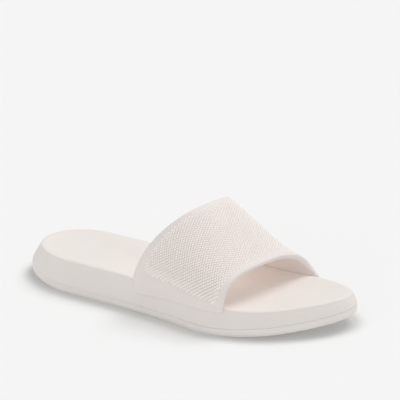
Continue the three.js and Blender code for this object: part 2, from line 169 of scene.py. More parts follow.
class Skin:
    """Quads of one closed body, gathered in bands, with an optional place in the layout."""

    MERGE = 1e-4  # millimetres within which two points are one

    def __init__(self) -> None:
        """Starts without faces."""
        self.quads: list[Array] = []
        self.layouts: list[Array] = []
        self.marks: list[Array] = []

    def grid(self, points: Array, layout: Array | None = None, mark: Array | None = None) -> None:
        """Adds a grid of quads.

        Args:
            points: Rows by columns of points, seen from outside with rows to the right of
                columns, so that row 0 to row 1 crossed with column 0 to column 1 looks out.
            layout: The same grid in the plane of a pattern, in metres, with the pattern's
                relief and the share of painted shade between its dots, from 0 to 1, as third and fourth
                value.
            mark: For each quad, whether it carries the pattern.
        """
        corners = [points[:-1, :-1], points[1:, :-1], points[1:, 1:], points[:-1, 1:]]
        self.quads.append(np.stack(corners, axis=2).reshape(-1, 4, 3))
        count = len(self.quads[-1])
        if layout is None:
            self.layouts.append(np.zeros((count, 4, 4)))
            self.marks.append(np.zeros(count, bool))
        else:
            flat = [layout[:-1, :-1], layout[1:, :-1], layout[1:, 1:], layout[:-1, 1:]]
            self.layouts.append(np.stack(flat, axis=2).reshape(-1, 4, 4))
            self.marks.append(mark.reshape(-1))

    def mesh(self, name: str, sharp_degrees: float) -> bpy.types.Mesh:
        """Joins all quads into one mesh in metres.

        Args:
            name: The mesh's name.
            sharp_degrees: Edges that turn more than this are drawn sharp.

        Returns:
            The mesh, with a UV map "layout" and the attributes "relief", "gap" and "patterned".
        """
        quads = np.concatenate(self.quads)
        layouts = np.concatenate(self.layouts)
        marks = np.concatenate(self.marks)
        keys = np.round(quads.reshape(-1, 3) / self.MERGE).astype(np.int64)
        _, first, index = np.unique(keys, axis=0, return_index=True, return_inverse=True)
        points = quads.reshape(-1, 3)[first] * MM
        faces, flats, kept = [], [], []
        for corners, flat, mark in zip(index.reshape(-1, 4), layouts, marks):
            loop = [k for k in range(4) if corners[k] != corners[k - 1]]
            if len(loop) >= 3 and len({corners[k] for k in loop}) == len(loop):
                faces.append([int(corners[k]) for k in loop])
                flats.extend(flat[k] for k in loop)
                kept.append(bool(mark))
        mesh = bpy.data.meshes.new(name)
        mesh.from_pydata(points.tolist(), [], faces)
        layer = mesh.uv_layers.new(name="layout")
        flats = np.array(flats, np.float32)
        layer.data.foreach_set("uv", flats[:, :2].ravel())
        for name, values in (("relief", flats[:, 2]), ("gap", flats[:, 3])):
            mesh.attributes.new(name, "FLOAT", "CORNER").data.foreach_set("value", values.copy())
        patterned = mesh.attributes.new("patterned", "BOOLEAN", "FACE")
        patterned.data.foreach_set("value", kept)
        mesh.shade_smooth()
        mesh.set_sharp_from_angle(angle=math.radians(sharp_degrees))
        return mesh


# Form of the sole, shared by its two pieces and the strap


Points = tuple[tuple[float, float], ...]  # share of the sole's length, share of a size


@dataclass(frozen=True)
class SoleForm:
    """Outline, heights and side of the sole, in the frame's millimetres."""

    length: float = 265.0
    heel_width: float = 69.5
    waist_width: float = 70.5
    ball_width: float = 93.5
    toe_tip_offset: float = 16.0
    heel_round: float = 48.0
    toe_round_outer: float = 99.0
    toe_round_inner: float = 56.0
    heel_rim_height: float = 26.0
    ball_rim_height: float = 21.0
    toe_rim_height: float = 25.4
    outsole_height: float = 6.0
    toe_spring: float = 9.0
    heel_lift: float = 3.2
    arch_rise: float = 1.2
    rim_slope: float = 2.9
    heel_slope: float = 4.6
    rim_round: float = 1.6
    foot_bevel: float = 1.0
    heel_bevel: float = 3.0
    toe_bevel: float = 1.2
    line_groove: float = 0.5
    groove_slope: float = 0.7  # height of the slope on each side of the groove
    line_chamfer: float = 1.0
    end_squareness: float = 2.1
    inner_squareness: float = 2.24
    wall_curve: float = 1.25
    outer_arch_share: float = 0.4
    stations: int = 150  # points along each side
    # Each curve along the sole: for each size it takes shares of, its points
    profiles: dict[str, dict[str, Points]] = field(compare=False, default_factory=lambda: {
        "outer": {
            "heel_width": ((0.0, 0.455), (0.14, 0.5)), "waist_width": ((0.35, 0.548),),
            "ball_width": ((0.52, 0.474), (0.66, 0.538), (0.8, 0.508), (1.0, 0.33)),
        },
        "inner": {
            "heel_width": ((0.0, 0.51), (0.14, 0.5)), "waist_width": ((0.35, 0.452),),
            "ball_width": ((0.52, 0.437), (0.66, 0.462), (0.8, 0.466), (1.0, 0.405)),
        },
        "rim": {
            "heel_rim_height": ((0.0, 1.0), (0.3, 1.01), (0.5, 0.985)),
            "ball_rim_height": ((0.75, 1.0),), "toe_rim_height": ((1.0, 1.0),),
        },
        "lift": {
            "heel_lift": ((0.0, 1.0), (0.05, 0.4), (0.13, 0.0)),
            "toe_spring": ((0.5, 0.0), (0.67, 0.0), (0.8, 0.26), (0.9, 0.6), (1.0, 1.0)),
        },
        "line": {"outsole_height": (
            (0.0, 1.1), (0.05, 1.05), (0.13, 1.0), (0.5, 0.94),
            (0.67, 0.98), (0.8, 1.03), (0.9, 1.1), (1.0, 1.15),
        )},
        "arch": {"arch_rise": ((0.0, 0.0), (0.32, 0.0), (0.45, 1.0), (0.58, 0.0), (1.0, 0.0))},
        "groove": {"line_groove": (
            (0.0, 0.2), (0.35, 0.2), (0.5, 0.7), (0.78, 1.0), (0.9, 0.9), (1.0, 0.5),
        )},
    })
    curves: dict[str, Curve] = field(default_factory=dict, compare=False)
    shift: Array = field(default_factory=lambda: np.zeros(3), compare=False)

    def __post_init__(self) -> None:
        """Makes the curves and finds where the CAD frame has the heel's end."""
        for name, sizes in self.profiles.items():
            rows = [(at, getattr(self, size) * part) for size in sizes for at, part in sizes[size]]
            self.curves[name] = Curve(*zip(*rows))
        low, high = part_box("outsole")
        place = self.outline()
        self.shift[0] = (low.x + high.x) / 2 / MM - self.length / 2
        self.shift[1] = (low.y + high.y) / 2 / MM - (place.y.min() + place.y.max()) / 2

    def outline_y(self, share: Array, side: Array) -> Array:
        """Side to side place of the widest line.

        Args:
            share: Shares of the sole's length.
            side: -1 for the outer side and 1 for the inner side.

        Returns:
            Millimetres from the length axis.
        """
        from_heel = share * self.length
        from_tip = self.length - from_heel
        heel = round_end(from_heel / self.heel_round, self.end_squareness)
        toe_outer = round_end(from_tip / self.toe_round_outer, self.end_squareness)
        toe_inner = round_end(from_tip / self.toe_round_inner, self.inner_squareness)
        toe = np.where(side < 0, toe_outer, toe_inner)
        half = np.where(side < 0, self.curves["outer"](share), self.curves["inner"](share))
        return self.toe_tip_offset * (1 - toe) + side * half * heel * toe

    def outline(self) -> "Places":
        """Points of the widest line, anticlockwise from the heel, with outward normals."""
        turn = np.arange(2 * self.stations)
        share = (1 - np.cos(turn / self.stations * math.pi)) / 2
        side = np.where(turn <= self.stations, -1, 1)
        x, y = share * self.length, self.outline_y(share, side)
        dx, dy = np.roll(x, -1) - np.roll(x, 1), np.roll(y, -1) - np.roll(y, 1)
        long = np.hypot(dx, dy)
        return Places(share, side, x, y, dy / long, -dx / long)

    def side_places(self, share: Array, side: Side) -> "Places":
        """Places on one side of the widest line, with the way outwards."""
        step = 1e-3
        share = np.clip(share, step, 1 - step)
        dx = np.full_like(share, 2 * step * self.length)
        dy = self.outline_y(share + step, side.value) - self.outline_y(share - step, side.value)
        long = np.hypot(dx, dy) * -side.value
        sides = np.full_like(share, side.value)
        y = self.outline_y(share, side.value)
        return Places(share, sides, share * self.length, y, dy / long, -dx / long)

    def nearness(self, depth: Array, reach: float) -> Array:
        """Squared nearness to an end: 1 at the end, 0 from reach millimetres away."""
        return np.maximum(0.0, 1 - depth / reach) ** 2

    def rim_inset(self, share: Array) -> Array:
        """How far the rim lies inside the widest line."""
        return self.rim_slope + self.heel_slope * self.nearness(share * self.length, self.heel_round)

    def bevel(self, share: Array) -> Array:
        """How far the underside lies inside the widest line."""
        heel = self.nearness(share * self.length, self.heel_round)
        toe = self.nearness((1 - share) * self.length, self.toe_round_inner)
        return self.foot_bevel + self.heel_bevel * heel + self.toe_bevel * toe

    def line(self, share: Array) -> Array:
        """Height of the line between outsole and midsole."""
        return self.curves["lift"](share) + self.curves["line"](share)

    def underside(self, place: "Places") -> Array:
        """Height of the underside's edge."""
        arch = np.where(place.side < 0, self.outer_arch_share, 1.0) * self.curves["arch"](place.share)
        return self.curves["lift"](place.share) + arch

    def rim(self, share: Array) -> Array:
        """Height of the rim of the footbed."""
        return self.curves["rim"](share)

    def wall_inset(self, share: Array, height: Array) -> Array:
        """How far the midsole's wall lies inside the widest line at a height."""
        foot = self.line(share) + self.line_chamfer
        top = self.rim(share) - self.rim_round
        return self.rim_inset(share) * np.clip((height - foot) / (top - foot), 0, 1) ** self.wall_curve

    def ring(self, inset: Array | float, height: Array) -> Array:
        """The outline drawn in by a distance, at a height."""
        return self.outline().inwards(inset, height)

    def off_wall(self, place: "Places", distance: Array | float, height: Array) -> Array:
        """Points off the midsole's wall by a distance, at a height."""
        return place.inwards(self.wall_inset(place.share, height) - distance, height)

    def across(self, edge: Array, columns: int) -> tuple[Array, Array]:
        """Rows of points across a ring, from the outer to the inner side.

        Args:
            edge: A ring of the sole.
            columns: Quads in each row.

        Returns:
            The points, and how far each lies across, from -1 to 1.
        """
        n = self.stations
        outer = edge[:n + 1][:, None, :]
        inner = edge[[(len(edge) - i) % len(edge) for i in range(n + 1)]][:, None, :]
        t = -np.cos(np.linspace(0, math.pi, columns + 1))[None, :]
        return mix(outer, inner, ((t + 1) / 2)[..., None]), t

    def add_face(self, skin: Skin, points: Array, facing: Facing) -> None:
        """Adds rows of points across the sole to a skin, looking up or down."""
        skin.grid((points if facing is Facing.UP else points[::-1]) + self.shift)

    def add_rings(self, skin: Skin, rings: list[Array]) -> None:
        """Adds the bands between rings, lowest first, to a skin."""
        closed = [np.concatenate([ring, ring[:1]]) + self.shift for ring in rings]
        skin.grid(np.stack(closed, axis=1))


class Places(NamedTuple):
    """Places on the widest line of the sole: share of the length, side, point and normal."""

    share: Array
    side: Array
    x: Array
    y: Array
    nx: Array
    ny: Array

    def inwards(self, inset: Array | float, height: Array) -> Array:
        """The points drawn in by a distance, at a height."""
        height = height + 0 * self.x
        return np.stack([self.x - self.nx * inset, self.y - self.ny * inset, height], -1)


def round_end(depth: Array, squareness: float) -> Array:
    """Width of a rounded end: 0 at its tip, 1 from the depth where the end begins."""
    left = 1 - np.clip(depth, 0, 1)
    return (1 - left ** squareness) ** (1 / squareness)


# Finishes


def start_material(
    name: str,
) -> tuple[bpy.types.Material, Callable[..., bpy.types.Node], bpy.types.NodeSocket]:
    """Starts a node material.

    Args:
        name: The material's name.

    Returns:
        The material, what adds a node to it, and its Object coordinates.
    """
    material = bpy.data.materials.new(name)
    material.use_nodes = True
    material.node_tree.nodes.clear()
    add = partial(add_node, material.node_tree)
    return material, add, add("ShaderNodeTexCoord").outputs["Object"]


@dataclass(frozen=True)
class MouldedFoam:
    """Closed-cell EVA foam with the fine dull skin that a polished steel mould leaves.

    To the eye it is soft and chalky: light goes a little way in and comes out warmer, gloss is
    wide and faint, and the skin has a fine grain and a slow unevenness where the foam shrank.
    """

    name: str
    colour: str
    shaded_colour: str
    roughness: float = 0.58
    ior: float = 1.49
    glow: float = 0.16  # share of the light that travels inside the foam
    glow_reach: float = 2.2  # millimetres
    grain: float = 0.9  # millimetres; real skin is finer, drawn coarse enough to show
    grain_depth: float = 0.012
    shrinkage: float = 24.0  # millimetres between slow highs and lows
    shrinkage_depth: float = 0.05
    painted_gap_shade_colour: str = ""  # painted shade: a darker colour on the skin between the dots of a pattern, where shade falls
    painted_dot_highlight_colour: str = ""  # painted highlight: a lighter colour on top of the dots, where light catches them

    def material(self) -> bpy.types.Material:
        """Makes the node material."""
        material, add, place = start_material(self.name)
        slow = add("ShaderNodeTexNoise", inputs={
            "Vector": place, "Scale": 1 / (self.shrinkage * MM), "Detail": 2.0, "Roughness": 0.45,
        })
        fine = add("ShaderNodeTexNoise", inputs={
            "Vector": place, "Scale": 1 / (self.grain * MM), "Detail": 3.0, "Roughness": 0.6,
        })
        tone = add("ShaderNodeMix", {"data_type": "RGBA"}, {
            0: slow.outputs["Fac"], 6: linear(self.shaded_colour), 7: linear(self.colour),
        })
        colour = tone.outputs[2]
        # Painted light on the pattern: the skin between the dots takes a darker painted shade colour,
        # and the dots take a lighter painted highlight colour.
        if self.painted_gap_shade_colour:
            gap = add("ShaderNodeAttribute", {"attribute_name": "gap"}).outputs["Fac"]
            top = add("ShaderNodeMath", {"operation": "MULTIPLY"}, {0: gap, 1: -1.0})
            for share, shade in ((gap, self.painted_gap_shade_colour), (top.outputs[0], self.painted_dot_highlight_colour)):
                colour = add("ShaderNodeMix", {"data_type": "RGBA"}, {
                    0: share, 6: colour, 7: linear(shade),
                }).outputs[2]
        dullness = add("ShaderNodeMapRange", inputs={
            "Value": fine.outputs["Fac"],
            "To Min": self.roughness - 0.06, "To Max": self.roughness + 0.06,
        })
        slow_bump = add("ShaderNodeBump", inputs={
            "Strength": 1.0, "Distance": self.shrinkage_depth * MM, "Height": slow.outputs["Fac"],
        })
        bump = add("ShaderNodeBump", inputs={
            "Strength": 1.0, "Distance": self.grain_depth * MM, "Height": fine.outputs["Fac"],
            "Normal": slow_bump.outputs["Normal"],
        })
        foam = add("ShaderNodeBsdfPrincipled", inputs={
            "Base Color": colour,
            "Roughness": dullness.outputs["Result"],
            "IOR": self.ior,
            "Subsurface Weight": self.glow,
            "Subsurface Radius": (1.0, 0.62, 0.4),
            "Subsurface Scale": self.glow_reach * MM,
            "Normal": bump.outputs["Normal"],
        })
        add("ShaderNodeOutputMaterial", inputs={"Surface": foam.outputs["BSDF"]})
        return material


@dataclass(frozen=True)
class StudioPaper:
    """Matt white paper on a lit table: no gloss, and nothing on it but the soft shadow, which the
    lights cast and a painted shadow in its colour deepens close to the pieces.
    """

    name: str = "white_background_paper"
    colour: str = "f5f5f5"
    fibre: float = 1.5  # millimetres
    fibre_depth: float = 0.004
    glow: float = 0.2  # share of its light that comes through from below
    glow_strength: float = 1.0
    painted_shadow_reach: float = 16.0  # millimetres from a piece within which a painted shadow darkens the paper's colour
    painted_shadow_share: float = 0.66  # share of the paper colour's brightness kept right beside a piece, under the painted shadow

    def material(self) -> bpy.types.Material:
        """Makes the node material."""
        material, add, place = start_material(self.name)
        fibre = add("ShaderNodeTexNoise", inputs={
            "Vector": place, "Scale": 1 / (self.fibre * MM), "Detail": 2.0,
        })
        bump = add("ShaderNodeBump", inputs={
            "Strength": 1.0, "Distance": self.fibre_depth * MM, "Height": fibre.outputs["Fac"],
        })
        # Painted shadow: ambient occlusion darkens the paper's colour close to the pieces.
        painted_shadow_ao = add("ShaderNodeAmbientOcclusion", {"samples": 16}, {
            "Distance": self.painted_shadow_reach * MM,
        })
        share = add("ShaderNodeMapRange", {"interpolation_type": "SMOOTHSTEP"}, {
            "Value": painted_shadow_ao.outputs["AO"], "From Min": 0.6, "From Max": 0.95,
            "To Min": self.painted_shadow_share, "To Max": 1.0,
        })
        tone = add("ShaderNodeMix", {"data_type": "RGBA"}, {
            0: share.outputs["Result"], 6: linear("000000"), 7: linear(self.colour),
        })
        paper = add("ShaderNodeBsdfDiffuse", inputs={
            "Color": tone.outputs[2], "Normal": bump.outputs["Normal"],
        })
        from_below = add("ShaderNodeEmission", inputs={
            "Color": linear(self.colour), "Strength": self.glow_strength,
        })
        surface = add("ShaderNodeMixShader", inputs={
            0: self.glow, 1: paper.outputs["BSDF"], 2: from_below.outputs["Emission"],
        })
        add("ShaderNodeOutputMaterial", inputs={"Surface": surface.outputs["Shader"]})
        return material


# Geometry trees


class NodeTool:
    """A geometry tree with named inputs, put on a piece and turned into its plain mesh."""

    def __init__(self, name: str, sizes: dict[str, str]) -> None:
        """Starts the tree with its geometry, material and size inputs.

        Args:
            name: The tree's name.
            sizes: Each named input with its kind of socket.
        """
        self.tree = bpy.data.node_groups.new(name, "GeometryNodeTree")
        face = self.tree.interface
        face.new_socket("Geometry", in_out="INPUT", socket_type="NodeSocketGeometry")
        face.new_socket("Geometry", in_out="OUTPUT", socket_type="NodeSocketGeometry")
        for size, kind in {"Finish": "Material", **sizes}.items():
            face.new_socket(size, in_out="INPUT", socket_type="NodeSocket" + kind)
        self.given = add_node(self.tree, "NodeGroupInput").outputs

    def add(self, kind: str, settings: dict[str, Any], inputs: dict[Any, Any]) -> bpy.types.Node:
        """Adds a node to this tree, as add_node does."""
        return add_node(self.tree, kind, settings, inputs)

    def make(
        self, kind: str, settings: dict[str, Any] | None = None, **inputs: Any,
    ) -> bpy.types.NodeSocket:
        """Adds a geometry node and gives back its first output.

        Args:
            kind: The node's type name without its "GeometryNode".
            settings: Values of the node's own properties.
            inputs: Each input by name, with _ for a space, and its value or feeding socket.

        Returns:
            The first output socket.
        """
        named = {name.replace("_", " "): value for name, value in inputs.items()}
        return self.add("GeometryNode" + kind, settings, named).outputs[0]

    def vector(self, **parts: Any) -> bpy.types.NodeSocket:
        """A vector made of X, Y and Z."""
        return self.add("ShaderNodeCombineXYZ", {}, parts).outputs[0]

    def maths(self, operation: str, *values: Any) -> bpy.types.NodeSocket:
        """Adds a maths node and gives back its result.

        Args:
            operation: The node's operation.
            values: Numbers, or sockets that feed it.

        Returns:
            The output socket.
        """
        inputs = dict(enumerate(values))
        return self.add("ShaderNodeMath", {"operation": operation}, inputs).outputs[0]

    def vector_maths(self, operation: str, *values: Any) -> bpy.types.NodeSocket:
        """Adds a vector maths node and gives back its result, as maths does."""
        inputs = dict(enumerate(values))
        return self.add("ShaderNodeVectorMath", {"operation": operation}, inputs).outputs[0]

    def end(self, geometry: bpy.types.NodeSocket) -> None:
        """Closes the tree with real geometry in the piece's finish."""
        real = self.make("RealizeInstances", Geometry=geometry)
        dressed = self.make("SetMaterial", Geometry=real, Material=self.given["Finish"])
        self.add("NodeGroupOutput", {}, {0: dressed})

    def apply(self, piece: bpy.types.Object, values: dict[str, Any]) -> None:
        """Runs the tree on a piece and keeps the result as the piece's mesh.

        Args:
            piece: The object whose mesh goes in.
            values: Each named input's value.
        """
        modifier = piece.modifiers.new(self.tree.name, "NODES")
        modifier.node_group = self.tree
        for item in self.tree.interface.items_tree:
            if item.in_out == "INPUT" and item.name in values:
                modifier[item.identifier] = values[item.name]
        depsgraph = bpy.context.evaluated_depsgraph_get()
        result = bpy.data.meshes.new_from_object(
            piece.evaluated_get(depsgraph), preserve_all_data_layers=True, depsgraph=depsgraph)
        piece.modifiers.remove(modifier)
        plain, piece.data = piece.data, result
        bpy.data.meshes.remove(plain)
        result.name = piece.name


def place_piece(mesh: bpy.types.Mesh) -> bpy.types.Object:
    """Puts a mesh into the scene as an object at the origin."""
    piece = bpy.data.objects.new(mesh.name, mesh)
    bpy.context.scene.collection.objects.link(piece)
    return piece


def seat(piece: bpy.types.Object, node: str) -> None:
    """Lets a finished piece stand for its CAD node and ride with it."""
    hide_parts(node)
    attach(piece, BODY)
    triangles = sum(len(face.vertices) - 2 for face in piece.data.polygons)
    LOG.info("%s: %d triangles", piece.name, triangles)


# Pieces of the slide


@dataclass
class Outsole:
    """Lower part of the sole: rounded foot, upright side, and wavy grooves in the tread."""

    form: SoleForm
    finish: MouldedFoam
    tread_depth: float = 1.6
    tread_width: float = 3.0
    tread_pitch: float = 9.0
    tread_margin: float = 11.0
    tread_wave: float = 2.4
    tread_pads: tuple[tuple[float, float], ...] = ((0.1, 0.31), (0.56, 0.86))
    side_curve: float = 1.8  # exponent with which the foot rounds into the upright side
    side_steps: int = 7
    columns: int = 24

    def skin(self) -> bpy.types.Mesh:
        """Makes the closed skin without its tread."""
        form = self.form
        place = form.outline()
        line, under = form.line(place.share), form.underside(place)
        rings = []
        for up in np.linspace(0, 0.5, self.side_steps):
            inset = form.bevel(place.share) * (1 - 2 * up) ** self.side_curve
            rings.append(form.ring(inset, mix(under, line, up)))
        groove = form.curves["groove"](place.share)
        rings.append(form.ring(0.0, line - form.groove_slope))
        rings.append(form.ring(groove * 0.35, line - form.groove_slope * 0.4))
        rings.append(form.ring(groove, line))
        skin = Skin()
        form.add_rings(skin, rings)
        form.add_face(skin, form.across(rings[0], self.columns)[0], Facing.DOWN)
        form.add_face(skin, form.across(rings[-1], 2)[0], Facing.UP)
        return skin.mesh("outsole", 34)

    def groove_line(self) -> bpy.types.Mesh:
        """Makes one point for each tread groove, with its span across the sole."""
        form = self.form
        shares = np.concatenate([
            np.linspace(a, b, round((b - a) * form.length / self.tread_pitch) + 1)
            for a, b in self.tread_pads
        ])
        outer = form.outline_y(shares, -1) + self.tread_margin
        inner = form.outline_y(shares, 1) - self.tread_margin
        height = form.curves["lift"](shares) + self.tread_depth
        points = np.stack([shares * form.length, (outer + inner) / 2, height], -1) + form.shift
        mesh = bpy.data.meshes.new("groove_line")
        mesh.from_pydata((points * MM).tolist(), [], [])
        span = mesh.attributes.new("span", "FLOAT", "POINT")
        span.data.foreach_set("value", ((inner - outer) * MM).astype(np.float32))
        return mesh

    def tread_tool(self) -> NodeTool:
        """Makes the tree that cuts a wavy groove at each point of the groove line."""
        tool = NodeTool("tread_grooves", {
            "Groove Line": "Object", "Width": "Float", "Depth": "Float", "Wave": "Float",
            "Steps": "Int",
        })
        given = tool.given
        across = tool.make(
            "MeshLine", {"mode": "END_POINTS"},
            Count=given["Steps"], Start_Location=(0, -0.5, 0), Offset=(0, 0.5, 0))
        bare = tool.make("MeshToCurve", Mesh=across)
        place = tool.add("ShaderNodeSeparateXYZ", {}, {0: tool.make("InputPosition")})
        swing = tool.maths("SINE", tool.maths("MULTIPLY", place.outputs["Y"], 2 * math.pi))
        reach = tool.maths("MULTIPLY", tool.maths("MULTIPLY", swing, given["Wave"]), -1.0)
        wavy = tool.make("SetPosition", Geometry=bare, Offset=tool.vector(X=reach))
        profile = tool.make(
            "CurvePrimitiveQuadrilateral",
            Width=given["Width"], Height=tool.maths("MULTIPLY", given["Depth"], 2.0))
        groove = tool.make("CurveToMesh", Curve=wavy, Profile_Curve=profile, Fill_Caps=True)
        line = tool.add("GeometryNodeObjectInfo", {}, {"Object": given["Groove Line"]})
        size = tool.vector(
            X=1.0, Y=tool.make("InputNamedAttribute", {"data_type": "FLOAT"}, Name="span"), Z=1.0)
        down = tool.vector(Z=tool.maths("MULTIPLY", given["Depth"], -1.0))
        dropped = tool.make("SetPosition", Geometry=line.outputs["Geometry"], Offset=down)
        grooves = tool.make("InstanceOnPoints", Points=dropped, Instance=groove, Scale=size)
        cut = tool.make(
            "MeshBoolean", {"operation": "DIFFERENCE", "solver": "EXACT"},
            Mesh_1=given["Geometry"], Mesh_2=tool.make("RealizeInstances", Geometry=grooves))
        tool.end(cut)
        return tool

    def build(self) -> bpy.types.Object:
        """Builds, dresses and seats the outsole."""
        piece = place_piece(self.skin())
        line = place_piece(self.groove_line())
        self.tread_tool().apply(piece, {
            "Groove Line": line, "Width": self.tread_width * MM, "Depth": self.tread_depth * MM,
            "Wave": self.tread_wave * MM, "Steps": 25, "Finish": self.finish.material(),
        })
        bpy.data.objects.remove(line)
        piece.name = "outsole_visual"
        seat(piece, "outsole")
        return piece


@dataclass
class Midsole:
    """Thick upper part of the sole: sloping side, rounded rim, and the dished footbed."""

    form: SoleForm
    finish: MouldedFoam
    clearance: float = 0.05
    rim_flat: float = 2.2
    footbed_depth: float = 3.6
    arch_support: float = 4.0
    dish_curve: float = 2.5
    support_curve: float = 4.0
    wall_steps: int = 12
    rim_steps: int = 9
    columns: int = 72
    dish: Points = ((0.0, 0.5), (0.16, 1.0), (0.4, 0.75), (0.66, 0.6), (1.0, 0.35))
    support: Points = ((0.0, 0.0), (0.16, 0.1), (0.4, 1.0), (0.66, 0.1), (1.0, 0.0))

    def footbed(self, edge: Array) -> Array:
        """Points of the footbed inside the rim's inner edge."""
        form = self.form
        points, t = form.across(edge, self.columns)
        share = form.outline().share[:form.stations + 1][:, None]
        dish, support = Curve(*zip(*self.dish))(share), Curve(*zip(*self.support))(share)
        wide = points[:, -1:, 1] - points[:, :1, 1]
        depth = self.footbed_depth * dish * smooth(wide / form.heel_width)
        points[..., 2] -= depth * (1 - np.abs(t) ** self.dish_curve)
        rise = self.arch_support * support * smooth(t)
        points[..., 2] += rise * (1 - np.abs(t) ** self.support_curve)
        return points

    def build(self) -> bpy.types.Object:
        """Builds, dresses and seats the midsole."""
        form = self.form
        share = form.outline().share
        foot, groove = form.line(share) + self.clearance, form.curves["groove"](share)
        low, top = foot + form.groove_slope, form.rim(share) - form.rim_round
        rings = [form.ring(groove, foot), form.ring(groove * 0.35, mix(foot, low, 0.6))]
        for t in np.linspace(0, 1, self.wall_steps):
            height = mix(low, top, t)
            rings.append(form.ring(form.wall_inset(share, height), height))
        for angle in np.linspace(0, math.pi / 2, self.rim_steps)[1:]:
            inset = form.rim_inset(share) + form.rim_round * (1 - math.cos(angle))
            rings.append(form.ring(inset, top + form.rim_round * math.sin(angle)))
        for t in (0.5, 1.0):
            inset = form.rim_inset(share) + form.rim_round + self.rim_flat * t
            rings.append(form.ring(inset, form.rim(share)))
        skin = Skin()
        form.add_rings(skin, rings)
        form.add_face(skin, form.across(rings[0], 2)[0], Facing.DOWN)
        form.add_face(skin, self.footbed(rings[-1]), Facing.UP)
        piece = place_piece(skin.mesh("midsole", 34))
        piece.data.materials.append(self.finish.material())
        piece.name = "midsole_visual"
        seat(piece, "midsole")
        return piece


class StrapRow(NamedTuple):
    """Ends, rise, lean and exponents of the arch at one place from rear (0) to front (1)."""

    at: float
    outer_end: float
    inner_end: float
    rise: float
    lean: float
    outer: float
    inner: float


